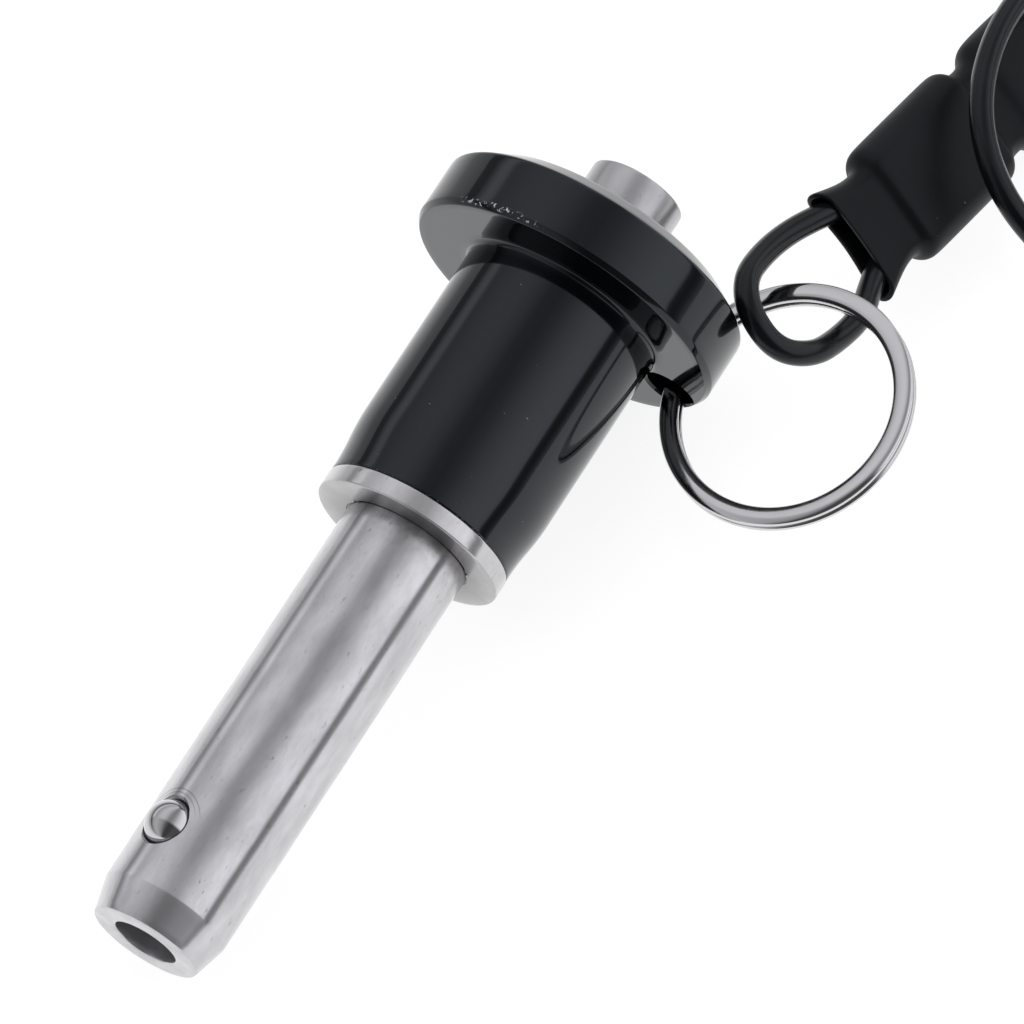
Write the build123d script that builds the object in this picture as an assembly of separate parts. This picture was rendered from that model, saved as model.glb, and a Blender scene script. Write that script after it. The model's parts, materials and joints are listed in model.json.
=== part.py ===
from build123d import *
from math import atan, atan2, cos, pi, radians, sin, tan
import os

# Button-handle ball lock pin for a half-inch hole, lying on a level surface with its split
# ring and its vinyl-covered cable lanyard. All sizes are in millimetres.
#
# Stations are measured along the pin from its end face towards the button. Angles about the
# pin are measured from straight up towards -Y. The finished model stands in a frame with +X
# along the pin's heading, +Z up, and its origin under the middle of the pin and its ring.

# Shank: ground stainless tube with a tapered nose. Its pilot end, past the balls, is ground a
# little under size to start easily in the hole, and a stepped-down spigot holds the handle.
shank_dia = 12.7
nose_face_dia = 10.84
nose_length = 3.4
pilot_length = 12.2
pilot_relief = 0.02
pilot_run_out = 0.6
grip_length = 45.15
spigot_dia = 12.0
spigot_length = 15.5

# Locking balls and the spindle that spreads them
ball_dia = 4.76
ball_station = 9.5
ball_protrusion = 1.3
ball_angle = -31.45
ball_lip_step = 0.06
ball_lip_height = 0.5
ball_lip_bite = 0.01
button_travel = 4.0
running_gap = 0.05
spindle_relief = 0.3
spindle_recess = 5.0
spindle_guide_length = 3.0
spindle_stem_dia = 4.0
spindle_groove_length = 2.4
upper_guide_length = 4.0
upper_guide_depth = 5.0
socket_depth = 6.0

# Collar washer pressed on the shank's spigot, its bore chamfered clear of the shoulder
collar_dia = 19.1
collar_thickness = 1.9
collar_edge = 0.15
collar_lead_in = 0.45

# Handle: a turned spool with a wide flange
handle_foot_dia = 19.0
foot_length = 1.8
handle_dia = 19.9
cone_length = 3.75
spool_length = 25.39
spool_fillet = 0.5
flange_dia = 31.6
lower_edge_width = 0.4
lower_edge_height = 0.52
rim_length = 5.32
top_edge_width = 2.5
top_edge_height = 1.7
lip_thickness = 1.5
lip_edge = 0.25

# Push button and its return spring
button_dia = 9.5
button_height = 6.42
button_edge = 0.35
skirt_width = 0.7
skirt_length = 4.0
spring_wire_dia = 0.8
spring_clearance = 0.45
spring_turns = 6

# Hole in the flange and the split ring through it
eye_hole_dia = 5.0
eye_hole_radius = 12.8
eye_hole_angle = 119.6
eye_hole_edge = 0.4
ring_dia = 24.6
ring_wire_width = 1.9
ring_wire_height = 0.93
ring_turn_gap = 0.04
ring_wire_round = 0.25
ring_offset = 0.15
ring_station = 75.4
ring_rise = 14.27
ring_lean = 6.16
ring_crossover = 40
ring_ramp_steps = 6
ring_end_angle = 150

# Lanyard: covered cable, crimp ferrules and shrink sleeves
cable_dia = 2.4
ferrule_width = 11.2
ferrule_height = 4.4
ferrule_length = 12.0
second_ferrule_length = 10.0
ferrule_gap = 5.5
mouth_depth = 8.0
mouth_width = 11.8
mouth_height = 4.1
waist_width = 11.0
waist_height = 4.2
waist_length = 3.0
sleeve_width = 12.6
sleeve_height = 5.6
sleeve_wall = 0.5
swell_length = 2.0
throat_width = 10.1
throat_height = 4.4
throat_length = 1.0
tail_length = 4.0
sleeve_roll = 36
bend_share = 0.45

# Derived sizes
shank_radius = shank_dia / 2
pilot_radius = shank_radius - pilot_relief
spigot_radius = spigot_dia / 2
ball_radius = ball_dia / 2
ball_orbit = shank_radius + ball_protrusion - ball_radius
ball_ratio = ball_protrusion / button_travel
land_radius = ball_orbit - ball_radius - running_gap
bore_radius = land_radius + spindle_relief + running_gap
groove_radius = land_radius - ball_protrusion
ramp_start = ball_station - (ball_radius + running_gap) * tan(atan(ball_ratio) / 2)
stem_radius = spindle_stem_dia / 2

collar_top = grip_length + collar_thickness
shank_length = collar_top + spigot_length
flange_base = collar_top + spool_length
rim_start = flange_base + lower_edge_height
rim_end = rim_start + rim_length
handle_top = rim_end + top_edge_height
flange_radius = flange_dia / 2
lip_base = handle_top - lip_thickness
button_top = handle_top + button_height
button_bore = button_dia / 2 + running_gap
skirt_radius = button_dia / 2 + skirt_width
chamber_radius = skirt_radius + running_gap
skirt_top = lip_base - running_gap
skirt_base = skirt_top - skirt_length
stem_end = skirt_base + socket_depth

# The pin lies on the start of its nose taper and on the lower corner of the flange's rim.
tilt = atan2(flange_radius - pilot_radius, rim_start - nose_length)
end_height = pilot_radius * cos(tilt) - nose_length * sin(tilt)
pin_axis = Vector(cos(tilt), 0, sin(tilt))
pin_up = Vector(-sin(tilt), 0, cos(tilt))
pin_place = Plane(origin=(0, 0, end_height), x_dir=pin_up, z_dir=pin_axis)


def turned(corners):
    """Solid of revolution about Z from (radius, station) corners."""
    outline = Polyline(*[(radius, 0, station) for radius, station in corners], close=True)
    return revolve(make_face(outline), Axis.Z)


def circles(solid, radius, station):
    """Circular edges of a turned solid at one radius and station."""
    def here(edge):
        return abs(edge.radius - radius) < 0.01 and abs(edge.arc_center.Z - station) < 0.01
    return solid.edges().filter_by(GeomType.CIRCLE).filter_by(here)


def about_pin(angle, radius, station):
    """Point in the pin's own frame."""
    return Vector(radius * cos(radians(angle)), radius * sin(radians(angle)), station)


def radial_plane(angle, station):
    """Plane in the pin's frame whose normal points out through the shank's wall."""
    outward = about_pin(angle, 1, 0)
    return Plane(origin=(0, 0, station), x_dir=(0, 0, 1), z_dir=outward)


def make_shank():
    body = turned([
        (bore_radius, 0),
        (nose_face_dia / 2, 0),
        (pilot_radius, nose_length),
        (pilot_radius, pilot_length - pilot_run_out),
        (shank_radius, pilot_length),
        (shank_radius, grip_length),
        (spigot_radius, grip_length),
        (spigot_radius, shank_length),
        (bore_radius, shank_length),
    ])
    pocket_radius = ball_radius + running_gap
    lip_radius = ball_radius - ball_lip_bite
    lip_height = ball_orbit + ball_lip_height
    pocket = turned([
        (0, 0),
        (pocket_radius, 0),
        (pocket_radius, ball_orbit + running_gap),
        (lip_radius, lip_height),
        (pocket_radius + ball_lip_step, shank_radius),
        (pocket_radius + ball_lip_step, shank_dia),
        (0, shank_dia),
    ])
    for angle in (ball_angle, ball_angle + 180):
        body -= radial_plane(angle, ball_station).location * pocket
    return body


def make_collar():
    outer = collar_dia / 2
    collar = turned([
        (spigot_radius, grip_length),
        (outer, grip_length),
        (outer, collar_top),
        (spigot_radius, collar_top),
    ])
    rim = circles(collar, outer, grip_length) + circles(collar, outer, collar_top)
    collar = chamfer(rim, collar_edge)
    return chamfer(circles(collar, spigot_radius, grip_length), collar_lead_in)


def make_handle():
    spool = turned([
        (spigot_radius, collar_top),
        (handle_foot_dia / 2, collar_top),
        (handle_foot_dia / 2, collar_top + foot_length),
        (handle_dia / 2, collar_top + foot_length + cone_length),
        (handle_dia / 2, flange_base),
        (flange_radius - lower_edge_width, flange_base),
        (flange_radius, rim_start),
        (flange_radius, rim_end),
        (flange_radius - top_edge_width, handle_top),
        (button_bore + lip_edge, handle_top),
        (button_bore, handle_top - lip_edge),
        (button_bore, lip_base),
        (chamber_radius, lip_base),
        (chamber_radius, shank_length),
        (spigot_radius, shank_length),
    ])
    spool = fillet(circles(spool, handle_dia / 2, flange_base), spool_fillet)
    hole = eye_hole_dia / 2
    eye_hole = turned([
        (0, flange_base),
        (hole + eye_hole_edge, flange_base),
        (hole, flange_base + eye_hole_edge),
        (hole, handle_top - eye_hole_edge),
        (hole + eye_hole_edge, handle_top),
        (0, handle_top),
    ])
    return spool - Pos(*about_pin(eye_hole_angle, eye_hole_radius, 0)) * eye_hole


def make_button():
    button = turned([
        (stem_radius, skirt_base),
        (skirt_radius, skirt_base),
        (skirt_radius, skirt_top),
        (button_dia / 2, skirt_top),
        (button_dia / 2, button_top),
        (0, button_top),
        (0, stem_end),
        (stem_radius, stem_end),
    ])
    return chamfer(circles(button, button_dia / 2, button_top), button_edge)


def make_spindle():
    guide_radius = bore_radius - running_gap
    guide_end = spindle_recess + spindle_guide_length
    groove_start = ramp_start + button_travel
    groove_end = groove_start + spindle_groove_length
    upper_end = shank_length - upper_guide_depth
    upper_start = upper_end - upper_guide_length
    step = guide_radius - stem_radius
    return turned([
        (0, spindle_recess),
        (guide_radius, spindle_recess),
        (guide_radius, guide_end),
        (land_radius, guide_end + guide_radius - land_radius),
        (land_radius, ramp_start),
        (groove_radius, groove_start),
        (groove_radius, groove_end),
        (stem_radius, groove_end + stem_radius - groove_radius),
        (stem_radius, upper_start - step),
        (guide_radius, upper_start),
        (guide_radius, upper_end),
        (stem_radius, upper_end + step),
        (stem_radius, stem_end),
        (0, stem_end),
    ])


def make_spring():
    wire_radius = spring_wire_dia / 2
    coil_radius = chamber_radius - spring_clearance - wire_radius
    low = shank_length + wire_radius + running_gap
    height = skirt_base - wire_radius - running_gap - low
    coil = Helix(pitch=height / spring_turns, height=height, radius=coil_radius)
    wire = sweep(Plane(coil @ 0, z_dir=coil % 0) * Circle(wire_radius), path=coil, is_frenet=True)
    return Pos(0, 0, low) * wire


def make_split_ring():
    """Two flat turns of one strip about Z, joined by a short ramp where the ends stop."""
    middle = (ring_dia - ring_wire_width) / 2
    rise = ring_wire_height + ring_turn_gap
    strip = RectangleRounded(ring_wire_width, ring_wire_height, ring_wire_round)

    def section(angle, height):
        out = Vector(cos(radians(angle)), sin(radians(angle)), 0)
        ahead = Vector(-out.Y, out.X, 0)
        return Plane(middle * out + Vector(0, 0, height), x_dir=out, z_dir=ahead) * strip

    flat_turn = 360 - ring_crossover
    lower = revolve(section(ring_end_angle, -rise / 2), Axis.Z, revolution_arc=flat_turn)
    upper = revolve(section(ring_end_angle, rise / 2), Axis.Z, revolution_arc=flat_turn)
    ramp = []
    for step in range(ring_ramp_steps + 1):
        share = step / ring_ramp_steps
        height = -rise / 2 * cos(pi * share)
        ramp.append(section(ring_end_angle - ring_crossover * (1 - share), height))
    return lower + loft(ramp) + upper


def ring_plane():
    """Where the split ring lies in the world: hung in the flange's hole, leaning outwards."""
    level = Vector(0, -1, 0)
    outward = level * cos(radians(ring_rise)) + pin_up * sin(radians(ring_rise))
    across = outward.cross(pin_axis)
    normal = across * cos(radians(ring_lean)) - pin_axis * sin(radians(ring_lean))
    hole = pin_place.from_local_coords(about_pin(eye_hole_angle, eye_hole_radius, ring_station))
    wire_orbit = (ring_dia - ring_wire_width) / 2
    centre = hole + outward * (wire_orbit + ring_offset)
    return Plane(origin=centre, x_dir=outward, z_dir=normal)


def cord_path(points):
    """Straight runs joined by arcs, each as large as its two runs allow."""
    places = [Vector(*point) for point in points]
    radii = []
    for before, here, after in zip(places, places[1:], places[2:]):
        turn = (here - before).get_angle(after - here)
        shorter = min((here - before).length, (after - here).length)
        radii.append(bend_share * shorter / tan(radians(turn) / 2))
    print("  arc radii", [round(radius, 1) for radius in radii])
    return FilletPolyline(*places, radius=radii)


def cable(points):
    path = cord_path(points)
    tube = sweep(Plane(path @ 0, z_dir=path % 0) * Circle(cable_dia / 2), path=path)
    share = tube.volume / (pi * cable_dia ** 2 / 4 * path.length)
    print("  length", round(path.length, 1), "volume over section x length", round(share, 4))
    return tube


def lengthwise(start, direction, roll):
    """Plane at a sleeve's mouth, looking along the sleeve, with its width rolled from level."""
    ahead = Vector(*direction).normalized()
    level = Vector(0, 0, 1).cross(ahead)
    return Plane(origin=start, x_dir=level.rotate(Axis((0, 0, 0), ahead), roll), z_dir=ahead)


def oval_body(place, ovals):
    """Straight-sided loft through slot sections given as (station, width, height)."""
    slots = [place.offset(station) * SlotOverall(width, height) for station, width, height in ovals]
    return loft(slots, ruled=True)


def make_ferrule(place, station, length):
    """Crimped ferrule: a flat-sided oval block."""
    oval = place.offset(station) * SlotOverall(ferrule_width, ferrule_height)
    return extrude(oval, amount=length, dir=place.z_dir)


def make_sleeve(place, ferrules, contents):
    """Shrink sleeve over its ferrules, open at the eye's end and tight on the cable."""
    snug_width = ferrule_width + 2 * sleeve_wall
    snug_height = ferrule_height + 2 * sleeve_wall
    neck = cable_dia + 2 * sleeve_wall
    ovals = [
        (0, mouth_width, mouth_height),
        (mouth_depth - waist_length, waist_width, waist_height),
    ]
    for station, length in ferrules:
        if len(ovals) > 2:
            ovals.append((station - ferrule_gap / 2, waist_width, waist_height))
        ovals.append((station, snug_width, snug_height))
        ovals.append((station + swell_length, sleeve_width, sleeve_height))
        ovals.append((station + length - swell_length, sleeve_width, sleeve_height))
        ovals.append((station + length, snug_width, snug_height))
    end = station + length
    ovals.append((end + throat_length, throat_width, throat_height))
    ovals.append((end + tail_length, neck + cable_dia / 2, neck))
    inside = []
    for station, width, height in ovals:
        inside.append((station, width - 2 * sleeve_wall, height - 2 * sleeve_wall))
    across = 2 * sleeve_width
    open_end = place * Pos(0, 0, mouth_depth / 2) * Box(across, across, mouth_depth)
    sleeve = oval_body(place, ovals) - (oval_body(place, inside) & open_end)
    for piece in contents:
        sleeve -= piece
    return sleeve


# Route points of the lanyard, from the near eye to the far one
near_eye_points = [
    (58.6, -8.5, 10.9),
    (55.6, -7.7, 12.0),
    (52.8, -6.6, 13.3),
    (49.8, -5.5, 14.6),
    (46.2, -4.3, 15.7),
    (42.3, -3.9, 17.0),
    (38.5, -4.3, 18.4),
    (35.4, -6.6, 18.7),
    (34.5, -10.1, 16.3),
    (36.9, -12.7, 14.3),
    (40.7, -13.3, 12.4),
    (44.5, -13.5, 11.3),
    (48.0, -12.3, 10.2),
    (51.3, -11.5, 9.8),
    (54.8, -11.0, 9.6),
    (58.1, -10.7, 9.3),
]
main_cable_points = [
    (83.3, -11.6, 4.4),
    (89.4, -12.1, 3.0),
    (96.4, -14.2, 1.9),
    (102.3, -21.2, 1.3),
    (103.4, -31.5, 1.25),
    (100.0, -41.2, 1.25),
    (92.8, -48.1, 1.25),
    (83.4, -51.1, 1.25),
    (73.6, -49.7, 1.3),
    (65.4, -44.2, 1.7),
    (60.5, -35.6, 3.6),
    (60.8, -25.2, 7.7),
    (61.9, -17.6, 12.8),
    (68.0, -11.7, 15.2),
    (78.1, -8.6, 14.2),
    (89.4, -9.0, 10.0),
    (98.6, -7.4, 6.2),
    (106.4, -7.0, 3.7),
    (112.0, -11.2, 2.7),
    (114.2, -18.2, 2.8),
    (115.4, -26.0, 2.8),
]
far_eye_points = [
    (115.0, -34.2, 2.8),
    (114.7, -38.1, 2.8),
    (114.0, -41.8, 2.8),
    (113.2, -45.9, 2.5),
    (112.8, -50.0, 2.0),
    (113.8, -54.1, 1.4),
    (117.3, -57.1, 1.25),
    (121.7, -56.6, 1.25),
    (124.5, -53.3, 1.3),
    (124.4, -48.8, 1.9),
    (122.7, -44.6, 2.5),
    (120.7, -40.8, 2.8),
    (119.0, -37.4, 2.8),
    (117.6, -33.8, 2.8),
]
near_place = lengthwise((49.77, -8.95, 12.0), (0.9725, -0.0756, -0.2205), sleeve_roll)
far_place = lengthwise((117.6, -42.7, 2.8), (-0.15, 0.989, 0), 0)

pin_pieces = {
    "shank": make_shank(),
    "collar_washer": make_collar(),
    "handle": make_handle(),
    "button": make_button(),
    "spindle": make_spindle(),
    "return_spring": make_spring(),
}
for number, angle in ((1, ball_angle), (2, ball_angle + 180)):
    ball = Pos(*about_pin(angle, ball_orbit, ball_station)) * Sphere(ball_radius)
    pin_pieces[f"ball_{number}"] = ball

own_pieces = {name: pin_place.location * piece for name, piece in pin_pieces.items()}
own_pieces["split_ring"] = ring_plane().location * make_split_ring()
middle = Compound(list(own_pieces.values())).bounding_box().center()
own_shift = Pos(-middle.X, -middle.Y, 0)
pieces = {name: own_shift * piece for name, piece in own_pieces.items()}

near_eye_cable = cable(near_eye_points)
main_cable = cable(main_cable_points)
far_eye_cable = cable(far_eye_points)
first_ferrule = (mouth_depth, ferrule_length)
second_ferrule = (mouth_depth + ferrule_length + ferrule_gap, second_ferrule_length)
pieces["near_eye_cable"] = near_eye_cable
pieces["main_cable"] = main_cable
pieces["far_eye_cable"] = far_eye_cable
pieces["near_ferrule"] = make_ferrule(near_place, *first_ferrule)
pieces["second_ferrule"] = make_ferrule(near_place, *second_ferrule)
pieces["far_ferrule"] = make_ferrule(far_place, *first_ferrule)
near_contents = [pieces["near_ferrule"], pieces["second_ferrule"], main_cable]
far_contents = [pieces["far_ferrule"], main_cable]
pieces["near_sleeve"] = make_sleeve(near_place, [first_ferrule, second_ferrule], near_contents)
pieces["far_sleeve"] = make_sleeve(far_place, [first_ferrule], far_contents)

os.makedirs("parts", exist_ok=True)
for name, piece in pieces.items():
    piece.label = name
    export_step(piece, f"parts/{name}.step")


def told(words, place, direction):
    """Print a place in metres and a direction, as a joint or a mount needs them."""
    position = [round(value / 1000, 6) for value in place]
    print(words, position, [round(value, 6) for value in direction])


def shifted(plane):
    return Plane(plane.origin + own_shift.position, x_dir=plane.x_dir, z_dir=plane.z_dir)


pin_frame = shifted(pin_place)
ring_frame = shifted(ring_plane())
wire_orbit = (ring_dia - ring_wire_width) / 2
told("pin end face", pin_frame.origin, pin_axis)
told("middle of the grip", pin_frame.origin + pin_axis * (pilot_length + grip_length) / 2, pin_axis)
face_middle = Vector((shank_dia + collar_dia) / 4, 0, grip_length)
told("collar face", pin_frame.from_local_coords(face_middle), pin_axis * -1)
told("button top", pin_frame.origin + pin_axis * button_top, pin_axis)
told("ring centre", ring_frame.origin, ring_frame.z_dir)
told("ring pivot", ring_frame.origin - ring_frame.x_dir * wire_orbit, ring_frame.y_dir)
for number, angle in ((1, ball_angle), (2, ball_angle + 180)):
    ball_place = pin_frame.from_local_coords(about_pin(angle, ball_orbit, ball_station))
    ball_out = ball_place - pin_frame.from_local_coords(Vector(0, 0, ball_station))
    told(f"ball {number}", ball_place, ball_out.normalized())
print("ball travel per button travel", ball_ratio)
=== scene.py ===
# %% [markdown]
# # A button-handle ball lock pin with its ring and lanyard
#
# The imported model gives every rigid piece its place. This lesson dresses it: the turned pieces
# are spun again as fine meshes with broken edges, the lanyard is made of smooth curves and
# lofted sleeves, and each metal, plastic and vinyl gets its own procedural finish.

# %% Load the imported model
import json
from math import atan2, copysign, cos, degrees, hypot, pi, radians, sin

import bmesh
import bpy
from mathutils import Matrix, Vector


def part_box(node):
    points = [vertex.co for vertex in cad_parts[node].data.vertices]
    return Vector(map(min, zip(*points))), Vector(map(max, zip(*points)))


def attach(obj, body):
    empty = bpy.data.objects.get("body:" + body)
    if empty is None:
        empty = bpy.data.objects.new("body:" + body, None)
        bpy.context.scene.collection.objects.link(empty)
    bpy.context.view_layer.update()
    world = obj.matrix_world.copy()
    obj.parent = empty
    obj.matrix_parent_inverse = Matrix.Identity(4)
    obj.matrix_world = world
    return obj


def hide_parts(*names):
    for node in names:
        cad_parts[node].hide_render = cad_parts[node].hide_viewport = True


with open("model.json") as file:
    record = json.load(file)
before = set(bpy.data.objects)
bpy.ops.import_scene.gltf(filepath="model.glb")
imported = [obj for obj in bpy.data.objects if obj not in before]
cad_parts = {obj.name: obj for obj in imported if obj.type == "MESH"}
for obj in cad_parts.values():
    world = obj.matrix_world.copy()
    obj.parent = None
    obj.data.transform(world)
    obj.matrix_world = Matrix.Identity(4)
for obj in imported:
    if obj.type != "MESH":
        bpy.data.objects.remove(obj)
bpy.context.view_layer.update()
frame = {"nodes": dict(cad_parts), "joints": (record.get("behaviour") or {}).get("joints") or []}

mm = 0.001
joints = {joint["name"]: joint for joint in frame["joints"]}
print("nodes", sorted(frame["nodes"]))

# %% [markdown]
# ## Camera
#
# A long lens from about a metre away flattens the perspective, as product pictures have it.
# It could be kept level by a Track To constraint, but a quaternion worked out once leaves
# nothing live in the scene.

# %% Camera above the tip side
scene = bpy.context.scene
lens = bpy.data.cameras.new("view")
lens.lens = 415.0
lens.sensor_width = 36.0
lens.clip_end = 20.0
camera = bpy.data.objects.new("view", lens)
scene.collection.objects.link(camera)
camera.location = (-0.4516135, -0.2815945, 0.9471552)
looked_at = Vector((0.015216, 0.006473, 0.0))
camera.rotation_mode = "QUATERNION"
camera.rotation_quaternion = (looked_at - camera.location).to_track_quat("-Z", "Y")
scene.camera = camera
print("camera stands", round((looked_at - camera.location).length, 3), "m away")

# %% [markdown]
# ## Reading the pin's own axes
#
# Turned pieces are easiest to draw where the lathe has them: about the Z axis, with stations
# measured from the end face. The push button's joint gives the axis, and the two locking
# balls lie either side of it at a known station, so one matrix carries a finished mesh from
# the lathe to its place. The object itself stays at the origin.

# %% Matrix from the lathe to the lying pin
ball_station = 9.5
pin_axis = -Vector(joints["button_press"]["axis"]).normalized()
balls = [sum(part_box(node), Vector()) / 2 for node in ("ball_1", "ball_2")]
end_centre = (balls[0] + balls[1]) / 2 - pin_axis * ball_station * mm
pin_side = Vector((0, 0, 1)).cross(pin_axis).normalized() * -1
pin_up = pin_side.cross(pin_axis)
lathe_to_pin = Matrix((pin_up, pin_side, pin_axis)).transposed().to_4x4()
lathe_to_pin.translation = end_centre
ball_out = (balls[0] - end_centre - pin_axis * ball_station * mm).normalized()
ball_angle = degrees(atan2(ball_out.dot(pin_side), ball_out.dot(pin_up)))
print("end face at", [round(value, 5) for value in end_centre], "balls at", round(ball_angle, 2))

# %% [markdown]
# ## Lanyard cables
#
# The lanyard is a thin steel cable in a black vinyl jacket. It leaves the near sleeve, loops
# back on itself and enters the far sleeve, and each end has an eye. A curve with a round bevel
# is the plain way to make it: one open NURBS spline with the route's points as its control
# points gives the even bend of a covered cable, which a polyline's corners would not.

# %% Smooth cables through the route's points
cable_dia = 2.4


def cable(name, points):
    """Covered cable along one open spline, as thick as the radius of its points."""
    curve = bpy.data.curves.new(name, "CURVE")
    curve.dimensions = "3D"
    curve.resolution_u = 16
    curve.bevel_depth = 1.0
    curve.bevel_resolution = 8
    curve.use_fill_caps = True
    spline = curve.splines.new("NURBS")
    spline.points.add(len(points) - 1)
    for point, place in zip(spline.points, points):
        point.co = (*place, 1)
        point.radius = cable_dia / 2 * mm
    spline.order_u = 3
    spline.use_endpoint_u = True
    piece = bpy.data.objects.new(name, curve)
    scene.collection.objects.link(piece)
    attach(piece, "pin")
    return piece


near_eye_points = [
    (0.0586, -0.0085, 0.0109),
    (0.0556, -0.0077, 0.0120),
    (0.0528, -0.0066, 0.0133),
    (0.0498, -0.0055, 0.0146),
    (0.0462, -0.0043, 0.0157),
    (0.0423, -0.0039, 0.0170),
    (0.0385, -0.0043, 0.0184),
    (0.0354, -0.0066, 0.0187),
    (0.0345, -0.0101, 0.0163),
    (0.0369, -0.0127, 0.0143),
    (0.0407, -0.0133, 0.0124),
    (0.0445, -0.0135, 0.0113),
    (0.0480, -0.0123, 0.0102),
    (0.0513, -0.0115, 0.0098),
    (0.0548, -0.0110, 0.0096),
    (0.0581, -0.0107, 0.0093),
]
main_cable_points = [
    (0.0833, -0.0116, 0.0044),
    (0.0894, -0.0121, 0.0030),
    (0.0964, -0.0142, 0.0019),
    (0.1023, -0.0212, 0.0013),
    (0.1034, -0.0315, 0.00125),
    (0.1000, -0.0412, 0.00125),
    (0.0928, -0.0481, 0.00125),
    (0.0834, -0.0511, 0.00125),
    (0.0736, -0.0497, 0.0013),
    (0.0654, -0.0442, 0.0017),
    (0.0605, -0.0356, 0.0036),
    (0.0608, -0.0252, 0.0077),
    (0.0619, -0.0176, 0.0128),
    (0.0680, -0.0117, 0.0152),
    (0.0781, -0.0086, 0.0142),
    (0.0894, -0.0090, 0.0100),
    (0.0986, -0.0074, 0.0062),
    (0.1064, -0.0070, 0.0037),
    (0.1120, -0.0112, 0.0027),
    (0.1142, -0.0182, 0.0028),
    (0.1154, -0.0260, 0.0028),
]
far_eye_points = [
    (0.1150, -0.0342, 0.0028),
    (0.1147, -0.0381, 0.0028),
    (0.1140, -0.0418, 0.0028),
    (0.1132, -0.0459, 0.0025),
    (0.1128, -0.0500, 0.0020),
    (0.1138, -0.0541, 0.0014),
    (0.1173, -0.0571, 0.00125),
    (0.1217, -0.0566, 0.00125),
    (0.1245, -0.0533, 0.0013),
    (0.1244, -0.0488, 0.0019),
    (0.1227, -0.0446, 0.0025),
    (0.1207, -0.0408, 0.0028),
    (0.1190, -0.0374, 0.0028),
    (0.1176, -0.0338, 0.0028),
]
near_eye = cable("near_eye_loop", near_eye_points)
main_cable = cable("lanyard_cable", main_cable_points)
far_eye = cable("far_eye_loop", far_eye_points)
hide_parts("near_eye_cable")
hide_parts("main_cable")
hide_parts("far_eye_cable")
cables = (near_eye, main_cable, far_eye)
print("points in each cable", [len(piece.data.splines[0].points) for piece in cables])

# %% [markdown]
# ## Turning on the lathe
#
# Nearly every piece of the pin comes off a lathe, so one helper spins an outline of
# (radius, station) corners about Z. Real edges are broken, never knife-sharp: the edges named
# in a list are bevelled, and long runs are then cut into short ones, so that the bevel's soft
# shading doesn't spread over them. The UV map unrolls the piece, U along the outline and V
# around, which tells a brushed metal which way its grain lies.

# %% Spin, break the edges and unroll
weld = 1e-7
uv_per_metre = 40
radius_in_uv = 0.37


def put_in_scene(bm, name, place, smooth_angle=32):
    """Close a bmesh into a shaded mesh object at the origin."""
    bmesh.ops.remove_doubles(bm, verts=bm.verts, dist=weld)
    bmesh.ops.recalc_face_normals(bm, faces=bm.faces)
    mesh = bpy.data.meshes.new(name)
    bm.to_mesh(mesh)
    bm.free()
    mesh.transform(place)
    mesh.shade_smooth()
    mesh.set_sharp_from_angle(angle=radians(smooth_angle))
    piece = bpy.data.objects.new(name, mesh)
    scene.collection.objects.link(piece)
    return piece


def station_of(edge):
    """Middle of an edge along the pin, in millimetres."""
    return sum(end.co.z for end in edge.verts) / 2 / mm


def radius_of(edge):
    """Middle distance of an edge's ends from the axis, in millimetres."""
    return sum(hypot(end.co.x, end.co.y) for end in edge.verts) / 2 / mm


def around(edge):
    """True for an edge that runs round the axis."""
    ends = edge.verts
    same_station = abs(ends[0].co.z - ends[1].co.z) < weld
    return same_station and abs(hypot(*ends[0].co.xy) - hypot(*ends[1].co.xy)) < weld


def unroll(bm):
    """UV map with U along the axis or the radius and V around."""
    layer = bm.loops.layers.uv.new("unrolled")
    for face in bm.faces:
        middle = face.calc_center_median()
        middle_angle = atan2(middle.y, middle.x)
        for loop in face.loops:
            spot = loop.vert.co
            angle = atan2(spot.y, spot.x)
            angle += 2 * pi * round((middle_angle - angle) / (2 * pi))
            along = spot.z - hypot(spot.x, spot.y) * radius_in_uv
            loop[layer].uv = (along * uv_per_metre, angle / (2 * pi))


def turned(outline, broken=(), steps=192, run=0.7, closed=False):
    """Solid of revolution; broken lists (radius, station, width) of edges to break."""
    bm = bmesh.new()
    corners = [bm.verts.new((radius * mm, 0, station * mm)) for radius, station in outline]
    wires = [bm.edges.new(pair) for pair in zip(corners, corners[1:])]
    if closed:
        wires.append(bm.edges.new((corners[-1], corners[0])))
    bmesh.ops.spin(bm, geom=corners + wires, cent=(0, 0, 0), axis=(0, 0, 1), angle=2 * pi,
                   steps=steps, use_merge=True)
    bmesh.ops.remove_doubles(bm, verts=bm.verts, dist=weld)
    for radius, station, width in broken:
        ring = []
        for edge in bm.edges:
            if around(edge) and abs(station_of(edge) - station) < 0.01:
                if abs(radius_of(edge) - radius * cos(pi / steps)) < 0.03:
                    ring.append(edge)
        bmesh.ops.bevel(bm, geom=ring, offset=width * mm, offset_type="OFFSET", segments=4,
                        profile=0.5, affect="EDGES", material=-1)
    long_runs = {}
    for edge in bm.edges:
        if not around(edge):
            cuts = int(edge.calc_length() / (run * mm))
            long_runs.setdefault(cuts, []).append(edge)
    for cuts in sorted(long_runs):
        if cuts:
            bmesh.ops.subdivide_edges(bm, edges=long_runs[cuts], cuts=cuts,
                                      use_grid_fill=True)
    bmesh.ops.recalc_face_normals(bm, faces=bm.faces)
    unroll(bm)
    return bm


# %% [markdown]
# ## Holes
#
# A drilled hole is a Boolean with a spun cutter. The cutter flares where it meets the surface,
# and so the hole gets the small chamfer that a deburring tool leaves.

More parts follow.
